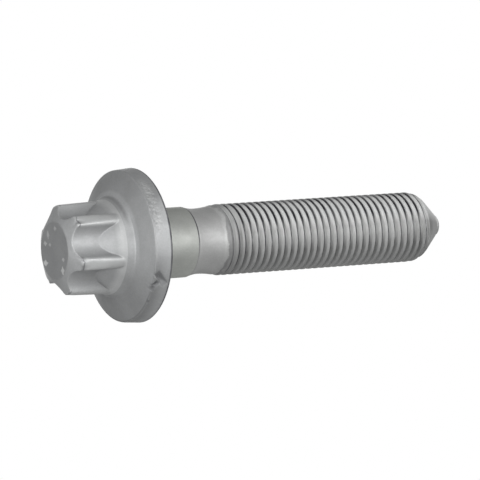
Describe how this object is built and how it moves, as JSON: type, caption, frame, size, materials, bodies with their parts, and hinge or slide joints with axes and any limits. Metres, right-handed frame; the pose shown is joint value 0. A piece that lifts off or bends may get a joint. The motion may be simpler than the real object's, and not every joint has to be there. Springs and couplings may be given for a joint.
{
  "type": "shock absorber bolt",
  "caption": "Steel flange bolt with an external six-lobed head, plain neck, recess, fine right-hand thread and blunt pilot tip.",
  "frame": {"origin": "centre of the flat end of the head, on which the bolt stands", "axes": "+Z along the bolt's axis, from the head to the pilot tip; +X through the crest of one lobe"},
  "size_m": [0.03, 0.03, 0.0868],
  "materials": {
    "bolt_steel": "dull silver-grey zinc flake coating on forged and rolled steel"
  },
  "bodies": {
    "root": {"bolt": "bolt_steel"}
  },
  "joints": []
}
